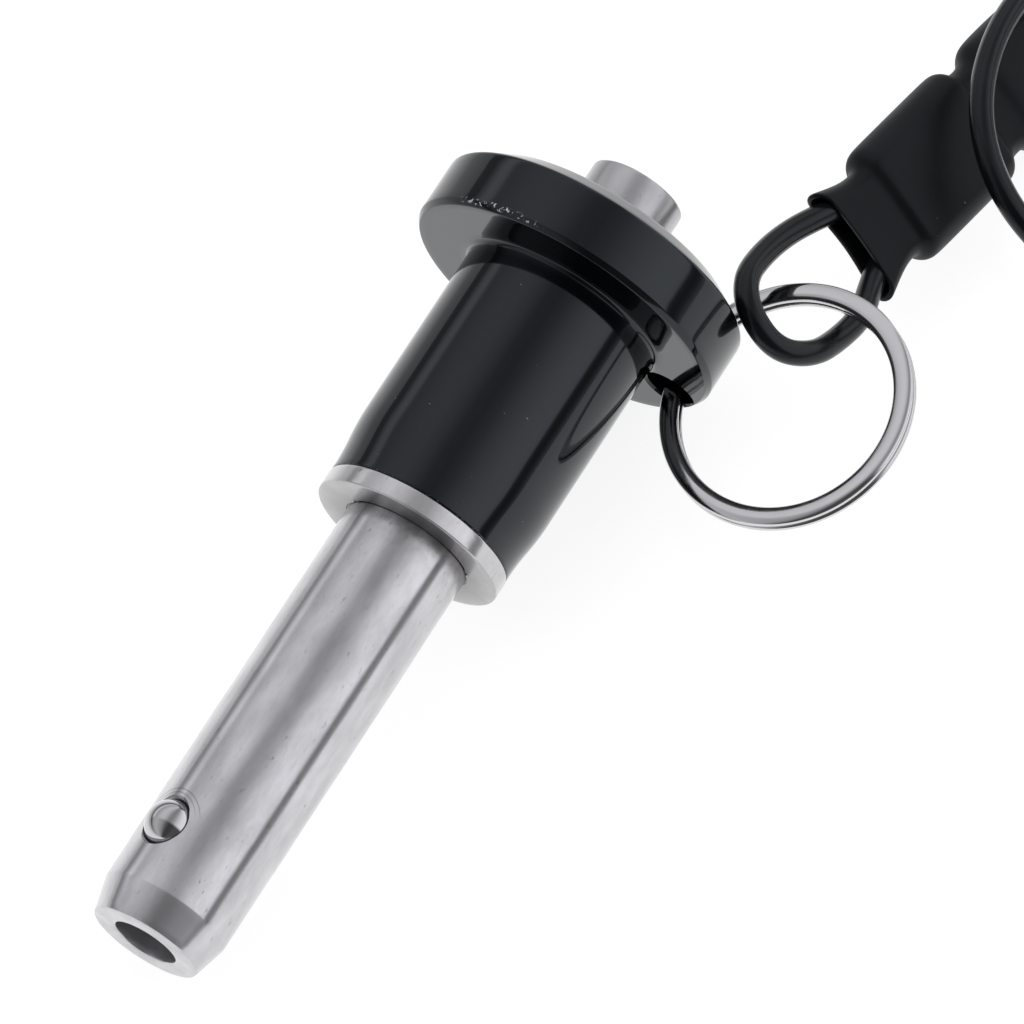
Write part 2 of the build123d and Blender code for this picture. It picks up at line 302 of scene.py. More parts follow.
# %% Cut a spun cutter out of a turned piece
def drilled(bm, cutters):
    """Mesh of a bmesh less some cutter bmeshes, all in the lathe's place."""
    blank = bpy.data.meshes.new("blank")
    bm.to_mesh(blank)
    bm.free()
    holder = bpy.data.objects.new("blank", blank)
    scene.collection.objects.link(holder)
    tools = []
    for cutter in cutters:
        tool_mesh = bpy.data.meshes.new("cutter")
        cutter.to_mesh(tool_mesh)
        cutter.free()
        tool = bpy.data.objects.new("cutter", tool_mesh)
        scene.collection.objects.link(tool)
        tools.append(tool)
        cut = holder.modifiers.new("hole", "BOOLEAN")
        cut.operation = "DIFFERENCE"
        cut.solver = "EXACT"
        cut.object = tool
    bpy.context.view_layer.update()
    evaluated = holder.evaluated_get(bpy.context.evaluated_depsgraph_get())
    result = bmesh.new()
    result.from_mesh(bpy.data.meshes.new_from_object(evaluated))
    for used in tools + [holder]:
        bpy.data.objects.remove(used)
    return result


# %% [markdown]
# ## Shank
#
# The shank is a ground stainless tube with a short tapered nose. Its ball pockets break
# through the wall with a thin staked lip that keeps each ball in.

# %% Turn and drill the shank
shank_radius = 6.35
pilot_radius = 6.33
spigot_radius = 6.0
nose_radius = 5.42
nose_length = 3.4
pilot_length = 12.2
grip_length = 45.15
bore_radius = 3.19
shank_length = 62.55
ball_radius = 2.38
ball_orbit = 5.27
run_out = 0.6
above_wall = shank_radius + 0.2


def turned_cutter(outline, place, steps=96):
    """Closed cutter, spun about its own Z and put in place."""
    bm = bmesh.new()
    corners = [bm.verts.new((radius * mm, 0, height * mm)) for radius, height in outline]
    wires = [bm.edges.new(pair) for pair in zip(corners, corners[1:])]
    bmesh.ops.spin(bm, geom=corners + wires, cent=(0, 0, 0), axis=(0, 0, 1), angle=2 * pi,
                   steps=steps, use_merge=True)
    bmesh.ops.remove_doubles(bm, verts=bm.verts, dist=weld)
    bmesh.ops.recalc_face_normals(bm, faces=bm.faces)
    bmesh.ops.transform(bm, matrix=place, verts=bm.verts)
    return bm


def radial_place(angle, station):
    """Matrix whose Z points out through the wall at an angle and station."""
    outward = Vector((cos(radians(angle)), sin(radians(angle)), 0))
    ahead = Vector((0, 0, 1))
    place = Matrix((ahead, outward.cross(ahead), outward)).transposed().to_4x4()
    place.translation = ahead * station * mm
    return place


pocket_outline = [
    (0, 0),
    (ball_radius + 0.05, 0),
    (ball_radius + 0.06, ball_orbit + 0.5),
    (ball_radius + 0.10, shank_radius - 0.36),
    (ball_radius + 0.17, shank_radius - 0.30),
    (ball_radius + 0.30, shank_radius - 0.04),
    (ball_radius + 0.50, above_wall),
    (0, above_wall),
]
shank_bm = turned([
    (bore_radius, 0),
    (nose_radius, 0),
    (pilot_radius, nose_length),
    (pilot_radius, pilot_length - run_out),
    (shank_radius, pilot_length),
    (shank_radius, grip_length),
    (spigot_radius, grip_length),
    (spigot_radius, shank_length),
    (bore_radius, shank_length),
], broken=[(bore_radius, 0, 0.14), (nose_radius, 0, 0.12), (pilot_radius, nose_length, 0.1)],
    steps=256, run=0.6, closed=True)
pockets = [turned_cutter(pocket_outline, radial_place(angle, ball_station))
           for angle in (ball_angle, ball_angle + 180)]
shank = put_in_scene(drilled(shank_bm, pockets), "ground_shank", lathe_to_pin)
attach(shank, "pin")
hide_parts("shank")
print("shank faces", len(shank.data.polygons))

# %% [markdown]
# ## Locking balls
#
# Two bearing balls sit in the pockets. A fine sphere is all they need, because their polish
# shows everything around them.

# %% Bearing balls
def bearing_ball(name, node, body):
    """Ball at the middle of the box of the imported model's own ball."""
    bm = bmesh.new()
    bmesh.ops.create_uvsphere(bm, u_segments=96, v_segments=48, radius=ball_radius * mm)
    middle = sum(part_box(node), Vector()) / 2
    ball = put_in_scene(bm, name, Matrix.Translation(middle), smooth_angle=180)
    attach(ball, body)
    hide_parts(node)
    return ball


upper_ball = bearing_ball("upper_bearing_ball", "ball_1", "upper_ball")
lower_ball = bearing_ball("lower_bearing_ball", "ball_2", "lower_ball")
print("balls of", 2 * ball_radius, "mm")

# %% [markdown]
# ## Collar washer
#
# A pressed-on stainless washer separates the grip from the handle. Its rim catches the light
# along two thin broken edges, and the relief in its bore draws a dark line round the shank.

# %% Collar washer
collar_top = 47.05
collar_radius = 9.55
relief_radius = shank_radius + 0.17
relief_depth = 0.5
collar_bm = turned([
    (spigot_radius, grip_length + relief_depth),
    (relief_radius, grip_length + relief_depth),
    (relief_radius, grip_length),
    (collar_radius, grip_length),
    (collar_radius, collar_top),
    (spigot_radius, collar_top),
], broken=[(collar_radius, grip_length, 0.17), (collar_radius, collar_top, 0.15)],
    steps=256, run=0.5, closed=True)
collar = put_in_scene(collar_bm, "collar", lathe_to_pin)
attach(collar, "pin")
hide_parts("collar_washer")
print("collar faces", len(collar.data.polygons))

# %% [markdown]
# ## Handle
#
# The handle is a turned spool in black anodised aluminium: a short foot, a slight cone, a
# long body and a wide flange with a chamfered rim. The cone's corners are eased, so that the
# outline bends without a kink. One hole through the flange takes the split ring.

# %% Turn and drill the handle
flange_base = 72.44
rim_start = 72.96
rim_end = 78.28
handle_top = 79.98
foot_radius = 9.5
foot_top = collar_top + 1.8
cone_top = collar_top + 5.55
body_radius = 9.95
flange_radius = 15.8
top_edge_radius = flange_radius - 2.5
button_radius = 4.75
button_bore = 4.8
chamber_radius = 5.5
lip_base = handle_top - 1.5
handle_bm = turned([
    (spigot_radius, collar_top),
    (foot_radius, collar_top),
    (foot_radius, foot_top),
    (body_radius, cone_top),
    (body_radius, flange_base),
    (flange_radius - 0.4, flange_base),
    (flange_radius, rim_start),
    (flange_radius, rim_end),
    (top_edge_radius, handle_top),
    (button_bore + 0.25, handle_top),
    (button_bore, handle_top - 0.25),
    (button_bore, lip_base),
    (chamber_radius, lip_base),
    (chamber_radius, shank_length),
    (spigot_radius, shank_length),
], broken=[
    (foot_radius, collar_top, 0.2),
    (foot_radius, foot_top, 1.2),
    (body_radius, cone_top, 1.2),
    (body_radius, flange_base, 0.5),
    (flange_radius - 0.4, flange_base, 0.1),
    (flange_radius, rim_start, 0.12),
    (flange_radius, rim_end, 0.25),
    (top_edge_radius, handle_top, 0.3),
    (button_bore + 0.25, handle_top, 0.1),
], steps=256, run=0.7, closed=True)
eye_angle = radians(119.6)
eye_orbit = 12.8
eye_radius = 2.5
flare_length = 2
flare_radius = eye_radius + 2.2
eye_place = Matrix.Translation(
    Vector((cos(eye_angle), sin(eye_angle), 0)) * eye_orbit * mm)
eye_cutter = turned_cutter([
    (0, flange_base - flare_length),
    (flare_radius, flange_base - flare_length),
    (eye_radius + 0.2, flange_base),
    (eye_radius, flange_base + 0.25),
    (eye_radius, handle_top - 0.25),
    (eye_radius + 0.25, handle_top),
    (flare_radius, handle_top + flare_length),
    (0, handle_top + flare_length),
], eye_place, steps=128)
handle = put_in_scene(drilled(handle_bm, [eye_cutter]), "spool_handle", lathe_to_pin)
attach(handle, "pin")
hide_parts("handle")
print("handle faces", len(handle.data.polygons))

# %% [markdown]
# ## Push button
#
# The button is a plain stainless cylinder with a small chamfer. Pressing it moves the spindle
# and frees the balls.

# %% Push button
button_top = 86.12
skirt_top = lip_base - 0.05
skirt_base = skirt_top - 4.0
skirt_radius = button_radius + 0.7
stem_radius = 2.0
button_bm = turned([
    (stem_radius, skirt_base),
    (skirt_radius, skirt_base),
    (skirt_radius, skirt_top),
    (button_radius, skirt_top),
    (button_radius, button_top),
    (0, button_top),
], broken=[(button_radius, button_top, 0.3)], steps=192, run=0.5)
button = put_in_scene(button_bm, "push_button", lathe_to_pin)
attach(button, "plunger")
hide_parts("button")
print("button faces", len(button.data.polygons))

# %% [markdown]
# ## Split ring
#
# A key ring is one flattened wire wound twice. Its crowned section is spun for the flat turns,
# and the spin's own rise per step makes the short ramp between them, which is easier to keep
# even than an array along a curve. Both ends stop inside the flange's hole.

# %% Wind the split ring
ring_centre = Vector((0.031894, -0.012985, 0.012529))
ring_normal = Vector((-0.236304, 0.245068, 0.940267)).normalized()
ring_pivot = Vector(joints["ring_swing"]["pos_m"])
ring_out = (ring_centre - ring_pivot).normalized()
ring_place = Matrix((ring_out, ring_normal.cross(ring_out), ring_normal)).transposed().to_4x4()
ring_place.translation = ring_centre
ring_dia = 24.6
wire_width = 1.9
ring_orbit = (ring_dia - wire_width) / 2
wire_height = 0.93
turn_rise = 0.97
ring_crossover = 40
ring_end_angle = 200
roundness = 2.3


def flattened(share, size):
    """Place across a squashed round section, from the same place on a unit circle."""
    return copysign(abs(share) ** (2 / roundness), share) * size / 2 * mm


def wind_ring():
    """Two flat turns with a short ramp between them, in the ring's own place."""
    bm = bmesh.new()
    section = bmesh.ops.create_circle(bm, cap_ends=True, segments=36, radius=1.0)["verts"]
    for vert in section:
        vert.co.x = flattened(vert.co.x, wire_width)
        vert.co.y = flattened(vert.co.y, wire_height)
    stand = Matrix.Rotation(radians(90), 4, "X")
    out = Matrix.Translation((ring_orbit * mm, 0, -turn_rise / 2 * mm))
    turn = Matrix.Rotation(radians(ring_end_angle), 4, "Z")
    bmesh.ops.transform(bm, matrix=turn @ out @ stand, verts=bm.verts)
    steps = 160
    end = list(bm.verts) + list(bm.edges) + list(bm.faces)
    flat = radians(360 - ring_crossover)
    end = bmesh.ops.spin(bm, geom=end, cent=(0, 0, 0), axis=(0, 0, 1), angle=flat,
                         steps=steps, use_merge=False)["geom_last"]
    ramp_steps = 16
    for step in range(ramp_steps):
        rise = cos(pi * step / ramp_steps) - cos(pi * (step + 1) / ramp_steps)
        end = bmesh.ops.spin(bm, geom=end, cent=(0, 0, 0), axis=(0, 0, 1),
                             angle=radians(ring_crossover) / ramp_steps, steps=1,
                             dvec=(0, 0, rise / 2 * turn_rise * mm))["geom_last"]
    bmesh.ops.spin(bm, geom=end, cent=(0, 0, 0), axis=(0, 0, 1), angle=flat,
                   steps=steps, use_merge=False)
    bmesh.ops.remove_doubles(bm, verts=bm.verts, dist=weld)
    unroll(bm)
    return bm


ring = put_in_scene(wind_ring(), "key_ring", ring_place, smooth_angle=60)
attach(ring, "ring")
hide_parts("split_ring")
print("ring faces", len(ring.data.polygons))

# %% [markdown]
# ## Shrink sleeves
#
# A heat-shrink sleeve wraps the crimped ferrules: it swells over each one, narrows between
# them, and hugs the cable at its closed end. Slot-shaped loops are bridged into a tube, a
# Subdivision Surface rounds it, and Solidify gives the wall its thickness. At the mouth, the
# film between the eye's two legs is pinched flatter and its edge draws back.

# %% Loft a sleeve over its ferrules
pinched_length = 5.0
mouth_pinch = 0.3
mouth_bow = 0.8
sleeve_wall = 0.5


def sleeve(name, node, start, direction, roll, loops):
    """Tube through (station, width, height) slot loops about a line."""
    bm = bmesh.new()
    ahead = Vector(direction).normalized()
    level = Vector((0, 0, 1)).cross(ahead).normalized()
    level.rotate(Matrix.Rotation(radians(roll), 3, ahead))
    place = Matrix((level, ahead.cross(level), ahead)).transposed().to_4x4()
    place.translation = Vector(start)
    before = []
    for station, width, height in loops:
        ring_loop = bmesh.ops.create_circle(bm, cap_ends=False, segments=32,
                                            radius=height / 2 * mm)["verts"]
        for side in (-1, 1):
            half = [vert for vert in ring_loop if vert.co.x * side > weld]
            bmesh.ops.translate(bm, vec=(side * (width - height) / 2 * mm, 0, 0), verts=half)
        bmesh.ops.translate(bm, vec=(0, 0, station * mm), verts=ring_loop)
        slack = max(0, 1 - station / pinched_length)
        for vert in ring_loop:
            middle_share = 1 - (2 * vert.co.x / (width * mm)) ** 2
            vert.co.y *= 1 - mouth_pinch * slack * middle_share
            vert.co.z += mouth_bow * mm * slack * middle_share
        edges = [edge for edge in bm.edges if all(end in ring_loop for end in edge.verts)]
        if before:
            bmesh.ops.bridge_loops(bm, edges=before + edges)
        before = edges
    bmesh.ops.recalc_face_normals(bm, faces=bm.faces)
    piece = put_in_scene(bm, name, place, smooth_angle=180)
    wall = piece.modifiers.new("wall", "SOLIDIFY")
    wall.thickness = sleeve_wall * mm
    wall.offset = -1
    soft = piece.modifiers.new("soft", "SUBSURF")
    soft.levels = soft.render_levels = 3
    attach(piece, "pin")
    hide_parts(node)
    return piece


near_loops = [
    (0.0, 12.5, 4.0),
    (0.25, 12.4, 4.0),
    (1.5, 11.5, 3.9),
    (3.0, 10.5, 3.7),
    (4.4, 9.9, 3.6),
    (5.6, 9.8, 3.6),
    (6.2, 10.4, 4.1),
    (6.6, 12.0, 5.1),
    (7.2, 12.6, 5.5),
    (8.2, 12.7, 5.6),
    (13.0, 12.7, 5.6),
    (19.4, 12.7, 5.6),
    (20.3, 12.5, 5.4),
    (20.8, 11.6, 4.8),
    (21.3, 10.2, 4.1),
    (22.6, 9.8, 3.9),
    (23.9, 10.0, 4.0),
    (24.6, 11.2, 4.7),
    (25.2, 12.2, 5.3),
    (26.6, 12.6, 5.5),
    (33.4, 12.4, 5.4),
    (35.2, 11.6, 5.0),
    (36.2, 10.0, 4.5),
    (37.8, 7.0, 4.0),
    (39.3, 4.5, 3.4),
]
far_loops = near_loops[:11] + [(18.2, 12.6, 5.6), (20.0, 11.6, 5.0), (21.0, 10.0, 4.5),
                               (22.5, 7.0, 4.0), (24.0, 4.5, 3.4)]
near_sleeve = sleeve("near_shrink_sleeve", "near_sleeve", (0.04977, -0.00895, 0.0120),
                     (0.9725, -0.0756, -0.2205), 36, near_loops)
far_sleeve = sleeve("far_shrink_sleeve", "far_sleeve", (0.1176, -0.0427, 0.0028),
                    (-0.15, 0.989, 0), 0, far_loops)
print("sleeves of", near_loops[-1][0], "and", far_loops[-1][0], "mm")

# %% [markdown]
# ## Cords
#
# The names of the three cables are printed.

print("cords", [piece.name for piece in cables])

# %% [markdown]
# ## Helpers for finishes
#
# Each finish is a Principled shader with its own pattern. Turned pieces share one idea: the
# pattern is read in the lathe's place, so grinding marks run round the pin although it lies
# tilted in the scene. A Mapping node does that turn.

# %% Node helpers
def finish(name, colour, metallic, roughness, **sockets):
    """New material and its Principled shader."""
    material = bpy.data.materials.new(name)
    material.use_nodes = True
    shader = material.node_tree.nodes["Principled BSDF"]
    shader.inputs["Base Color"].default_value = (*colour, 1)
    shader.inputs["Metallic"].default_value = metallic
    shader.inputs["Roughness"].default_value = roughness
    for socket, value in sockets.items():
        shader.inputs[socket.replace("_", " ")].default_value = value
    return material, shader


def add(material, kind, **inputs):
    """New node with its inputs set to values or linked to sockets."""
    node = material.node_tree.nodes.new(kind)
    for socket, value in inputs.items():
        plug(material, value, node.inputs[socket.replace("_", " ")])
    return node


def plug(material, value, socket):
    """Link a socket to a value's socket, or set it to a plain value."""
    if isinstance(value, bpy.types.NodeSocket):
        material.node_tree.links.new(value, socket)
    else:
        socket.default_value = value


def lathe_coordinates(material):
    """Object coordinates turned so that Z runs along the pin from its end face."""
    back = lathe_to_pin.inverted()
    place = add(material, "ShaderNodeTexCoord")
    mapping = add(material, "ShaderNodeMapping", Vector=place.outputs["Object"],
                  Location=back.translation, Rotation=back.to_euler("XYZ"))
    return mapping.outputs["Vector"]


def stretched(material, vector, scale):
    """Coordinates with a scale of their own along each axis."""
    return add(material, "ShaderNodeMapping", Vector=vector, Scale=scale).outputs["Vector"]


def noise(material, vector, scale, detail=4.0, roughness=0.5):
    """Noise from 0 to 1."""
    return add(material, "ShaderNodeTexNoise", Vector=vector, Scale=scale, Detail=detail,
               Roughness=roughness).outputs["Fac"]


def spread(material, value, low, high, to_low, to_high):
    """Map a range of a value on to another, and stop at its ends."""
    return add(material, "ShaderNodeMapRange", Value=value, From_Min=low, From_Max=high,
               To_Min=to_low, To_Max=to_high).outputs["Result"]


def maths(material, operation, first, second):
    """Result of one Math node."""
    node = material.node_tree.nodes.new("ShaderNodeMath")
    node.operation = operation
    plug(material, first, node.inputs[0])
    plug(material, second, node.inputs[1])
    return node.outputs[0]


def times(material, *values):
    """Product of some values."""
    product = values[0]
    for value in values[1:]:
        product = maths(material, "MULTIPLY", product, value)
    return product


def band(material, value, low, high, soft):
    """1 where a value lies between two limits, with soft ends."""
    return times(material, spread(material, value, low - soft, low, 0.0, 1.0),
                 spread(material, value, high, high + soft, 1.0, 0.0))


def coordinates(material, vector):
    """X, Y and Z of a vector."""
    return add(material, "ShaderNodeSeparateXYZ", Vector=vector).outputs


def distance(material, first, second):
    """Distance from an axis, from the two coordinates across it."""
    node = material.node_tree.nodes.new("ShaderNodeVectorMath")
    node.operation = "LENGTH"
    across = add(material, "ShaderNodeCombineXYZ", X=first, Y=second).outputs["Vector"]
    plug(material, across, node.inputs[0])
    return node.outputs["Value"]


def mixed(material, share, first, second):
    """Colour between two colours."""
    node = material.node_tree.nodes.new("ShaderNodeMix")
    node.data_type = "RGBA"
    plug(material, share, node.inputs["Factor"])
    ends = [socket for socket in node.inputs if socket.type == "RGBA"]
    plug(material, first, ends[0])
    plug(material, second, ends[1])
    return [socket for socket in node.outputs if socket.type == "RGBA"][0]


def bumped(material, shader, height, strength, depth):
    """Bump a shader by a height."""
    node = add(material, "ShaderNodeBump", Height=height, Strength=strength, Distance=depth)
    plug(material, node.outputs["Normal"], shader.inputs["Normal"])


def cover(piece, material):
    """Give a piece one finish in every slot."""
    if not piece.data.materials:
        piece.data.materials.append(material)
    for slot in piece.material_slots:
        slot.material = material


print("helpers ready for", len(frame["nodes"]), "nodes")

# %% [markdown]
# ## Ground and turned steel
#
# Centreless grinding leaves marks round the pin, finer than the eye can part. They stretch
# every reflection along the pin, which is what an anisotropic shader does once the UV map
# tells it which way is along. A quarter of the surface scatters like a matt one, because
# ground steel never mirrors cleanly, and a mottle with fine pits keeps it from looking new.

# %% Steels
mirror_share = 0.75


def brushed_steel(name, colour, roughness, anisotropy, mottle):
    """Metal whose reflections stretch along the pin's axis, and its colour's last mix."""
    material, shader = finish(name, colour, mirror_share, roughness, Anisotropic=anisotropy)
    lathe = lathe_coordinates(material)
    tangent = material.node_tree.nodes.new("ShaderNodeTangent")
    tangent.direction_type = "UV_MAP"
    tangent.uv_map = "unrolled"
    plug(material, tangent.outputs["Tangent"], shader.inputs["Tangent"])
    cloud = noise(material, stretched(material, lathe, (420, 420, 150)), 1.0, 5.0, 0.6)
    grain = noise(material, stretched(material, lathe, (300, 300, 7000)), 1.0, 3.0)
    pits = noise(material, stretched(material, lathe, (2400, 2400, 1100)), 1.0, 3.0, 0.6)
    darker = tuple(value * (1 - mottle) for value in colour)
    share = spread(material, cloud, 0.36, 0.66, 0.0, 1.0)
    mottled = mixed(material, share, (*darker, 1), (*colour, 1))
    pit = spread(material, pits, 0.65, 0.75, 0.0, 0.6)
    pitted = mixed(material, pit, mottled, (0.22, 0.215, 0.22, 1))
    plug(material, pitted, shader.inputs["Base Color"])
    rougher = spread(material, cloud, 0.3, 0.7, roughness * 1.25, roughness * 0.85)
    plug(material, rougher, shader.inputs["Roughness"])
    height = maths(material, "ADD", times(material, grain, 0.35), cloud)
    bumped(material, shader, height, 0.3, 0.00002)
    return material, shader, pitted


shank_steel, shank_shader, shank_colour = brushed_steel(
    "shank_steel", (0.655, 0.65, 0.672), 0.19, 0.82, 0.2)
collar_steel, collar_shader, collar_colour = brushed_steel(
    "collar_steel", (0.63, 0.62, 0.63), 0.2, 0.65, 0.15)
button_steel = brushed_steel("button_steel", (0.57, 0.568, 0.58), 0.3, 0.5, 0.13)[0]
cover(shank, shank_steel)
cover(collar, collar_steel)
cover(button, button_steel)
print("steels", shank_steel.name, collar_steel.name, button_steel.name)

# %% [markdown]
# ## Marks and painted shade on the shank
#
# Two darker patterns belong to the shank alone. A punch has staked the wall round each ball's
# pocket and left two faint arcs above it, and the shank is darkened with painted shade where it
# meets the collar. The arcs come from the distance to the pocket's axis, the painted shade from
# the station along the pin.

# %% Stake marks, and painted shade by the collar, on the shank
shank_lathe = lathe_coordinates(shank_steel)
pocket_view = add(shank_steel, "ShaderNodeMapping", Vector=shank_lathe,
                  Rotation=(0, 0, -radians(ball_angle)),
                  Location=(0, 0, -ball_station * mm)).outputs["Vector"]
pocket_parts = coordinates(shank_steel, pocket_view)
pocket_reach = distance(shank_steel, pocket_parts["Y"], pocket_parts["Z"])
arc_width = 0.05
arc_blur = 0.06
beyond = spread(shank_steel, pocket_parts["Z"], 1.2 * mm, 2.4 * mm, 0.0, 1.0)
for radius, strength in ((2.95, 0.4), (3.35, 0.5)):
    line = band(shank_steel, pocket_reach, radius * mm, (radius + arc_width) * mm,
                arc_blur * mm)
    arc = times(shank_steel, line, beyond, strength)
    shank_colour = mixed(shank_steel, arc, shank_colour, (0.13, 0.13, 0.14, 1))
# Painted shade: the shank's colour darkens to a brown-grey towards the collar, broken up by
# noise.
contact_shade_reach = 5.0
contact_shade_noise = noise(shank_steel, shank_lathe, 650.0, 4.0, 0.6)
near_collar = spread(shank_steel, coordinates(shank_steel, shank_lathe)["Z"],
                     (grip_length - contact_shade_reach) * mm, grip_length * mm, 0.0, 1.0)
painted_contact_shade = times(shank_steel, near_collar, near_collar,
              spread(shank_steel, contact_shade_noise, 0.38, 0.62, 0.25, 1.0), 0.75)
shank_colour = mixed(shank_steel, painted_contact_shade, shank_colour, (0.2, 0.185, 0.175, 1))
plug(shank_steel, shank_colour, shank_shader.inputs["Base Color"])
print("arcs round the pocket at", round(ball_angle, 2), "degrees")

# %% [markdown]
# ## Painted shade on the collar's face
#
# The collar's face is darkened with painted shade, like the shank next to it, thickest against
# the shank. It is held to the face by the station, and thins with the distance from the axis.

# %% Painted shade on the collar's face
collar_lathe = lathe_coordinates(collar_steel)
collar_parts = coordinates(collar_steel, collar_lathe)
collar_reach = distance(collar_steel, collar_parts["X"], collar_parts["Y"])
on_face = spread(collar_steel, collar_parts["Z"], (grip_length + 0.02) * mm,
                 (grip_length + 0.1) * mm, 1.0, 0.0)
# Painted shade: the collar's face is darkened towards the shank with a dark grey.
shade = times(collar_steel, on_face, spread(
    collar_steel, collar_reach, shank_radius * mm, collar_radius * mm, 0.95, 0.3))
collar_colour = mixed(collar_steel, shade, collar_colour, (0.2, 0.195, 0.2, 1))
plug(collar_steel, collar_colour, collar_shader.inputs["Base Color"])
print("painted_shade thins from", shank_radius, "to", collar_radius, "mm")

# %% [markdown]
# ## Spindle and spring
#
# Little of the spindle and nothing of the spring can be seen, down the bore. The packed
# model's own meshes do for them, with plain turned and drawn steel.

# %% Spindle and spring seen through the bore
spindle_steel, spindle_shader = finish("spindle_steel", (0.32, 0.31, 0.30), 1.0, 0.35)
spindle_marks = noise(spindle_steel, stretched(spindle_steel, lathe_coordinates(spindle_steel),
                                               (400, 400, 6000)), 1.0)
bumped(spindle_steel, spindle_shader, spindle_marks, 0.4, 0.00001)
cover(frame["nodes"]["spindle"], spindle_steel)
spring_steel, spring_shader = finish("spring_steel", (0.45, 0.44, 0.42), 1.0, 0.3)
bumped(spring_steel, spring_shader, noise(spring_steel, lathe_coordinates(spring_steel), 3000.0),
       0.2, 0.00001)
cover(frame["nodes"]["return_spring"], spring_steel)
print("spindle and spring keep their packed meshes")

# %% [markdown]
# ## Polished balls and nickel ring
#
# The balls are mirror-polished under a light haze. The ring is nickel over steel: nearly a
# mirror, with the slight orange peel that plating leaves.

# %% Chrome and nickel
ball_chrome, ball_shader = finish("ball_chrome", (0.52, 0.51, 0.52), 1.0, 0.1)
ball_place = add(ball_chrome, "ShaderNodeTexCoord").outputs["Object"]
ball_haze = noise(ball_chrome, ball_place, 900.0)
plug(ball_chrome, spread(ball_chrome, ball_haze, 0.4, 0.7, 0.05, 0.14),
     ball_shader.inputs["Roughness"])
cover(upper_ball, ball_chrome)
cover(lower_ball, ball_chrome)

ring_nickel, ring_shader = finish("ring_nickel", (0.6, 0.595, 0.605), 1.0, 0.12)
ring_spot = add(ring_nickel, "ShaderNodeTexCoord").outputs["Object"]
ring_haze = noise(ring_nickel, ring_spot, 420.0)
plug(ring_nickel, spread(ring_nickel, ring_haze, 0.35, 0.7, 0.08, 0.2),
     ring_shader.inputs["Roughness"])
bumped(ring_nickel, ring_shader, noise(ring_nickel, ring_spot, 700.0, 2.0), 0.12, 0.00002)
cover(ring, ring_nickel)
print("polished", ball_chrome.name, ring_nickel.name)

# %% [markdown]
# ## Black anodised aluminium
#
# The handle is dyed nearly black under a clear, glassy oxide, so almost all that the eye sees
# of it is reflection. A little dust lies on it, and the rim's lower edge is nicked through to
# bare metal in a few places. Both are sparse noise, one of them held to the edge by the
# distance from the pin's axis and the station.

# %% Handle finish
dyed = (0.003, 0.0034, 0.0042)


def anodised():
    """Near-black glossy oxide with dust, rim nicks and chips along the foot."""
    material, shader = finish("black_anodised", dyed, 0.0, 0.06, IOR=1.5,
                              Specular_IOR_Level=0.46, Specular_Tint=(0.84, 0.92, 1.0, 1.0))
    lathe = lathe_coordinates(material)
    parts = coordinates(material, lathe)
    radius = distance(material, parts["X"], parts["Y"])
    turn = maths(material, "ARCTAN2", parts["Y"], parts["X"])
    dust = noise(material, lathe, 1500.0, 2.0, 0.6)
    specks = spread(material, dust, 0.755, 0.79, 0.0, 1.0)
    rough = noise(material, lathe, 500.0)
    chips = noise(material, lathe, 2300.0, 4.0, 0.7)
    worn_arc = band(material, turn, radians(-32), radians(-12), radians(9))
    at_rim = band(material, radius, (flange_radius - 0.18) * mm, (flange_radius + 0.1) * mm,
                  0.08 * mm)
    at_lower_edge = band(material, parts["Z"], flange_base * mm, (rim_start + 0.12) * mm,
                         0.2 * mm)
    on_rim = times(material, at_rim, worn_arc, at_lower_edge,
                   spread(material, chips, 0.57, 0.6, 0.0, 1.0))
    on_foot = times(material, band(material, parts["Z"], 0, (collar_top + 0.12) * mm, 0.1 * mm),
                    spread(material, chips, 0.56, 0.6, 0.0, 0.7))
    dusty = mixed(material, specks, (*dyed, 1), (0.2, 0.2, 0.2, 1))
    footed = mixed(material, on_foot, dusty, (0.16, 0.16, 0.16, 1))
    plug(material, mixed(material, on_rim, footed, (0.85, 0.85, 0.87, 1)),
         shader.inputs["Base Color"])
    plug(material, spread(material, rough, 0.3, 0.7, 0.045, 0.085), shader.inputs["Roughness"])
    turning = noise(material, stretched(material, lathe, (200, 200, 7000)), 1.0, 2.0)
    bumped(material, shader, turning, 0.08, 0.000003)
    return material


black_anodised = anodised()
cover(handle, black_anodised)
print("handle in", black_anodised.name)

# %% [markdown]
# ## Vinyl jacket and shrink sleeve
#
# The cable's jacket is smooth and half glossy, the sleeve matte with a fine tooth. Both are
# near black, so their look comes from roughness and bump far more than from colour.

# %% Vinyl and sleeve
def soft_black(name, colour, roughness, shine, tooth, tooth_scale, specks):
    """Near-black vinyl or rubbery film with its tooth as bump and a little dust."""
    material, shader = finish(name, colour, 0.0, roughness, IOR=1.5, Specular_IOR_Level=shine,
                              Specular_Tint=(0.88, 0.94, 1.0, 1.0))
    spot = add(material, "ShaderNodeTexCoord").outputs["Object"]
    cloud = noise(material, spot, 140.0, 4.0)
    flecks = noise(material, spot, 1400.0, 2.0, 0.6)
    dust = spread(material, flecks, specks, specks + 0.03, 0.0, 1.0)
    paler = tuple(value * 1.5 + 0.002 for value in colour)
    clouded = spread(material, cloud, 0.35, 0.7, 0.0, 1.0)
    base = mixed(material, clouded, (*colour, 1), (*paler, 1))
    dusty = mixed(material, dust, base, (0.16, 0.16, 0.16, 1))
    plug(material, dusty, shader.inputs["Base Color"])
    plug(material, spread(material, cloud, 0.3, 0.7, roughness * 0.85, roughness * 1.15),
         shader.inputs["Roughness"])
    bumped(material, shader, noise(material, spot, tooth_scale, 3.0), tooth, 0.00003)
    return material


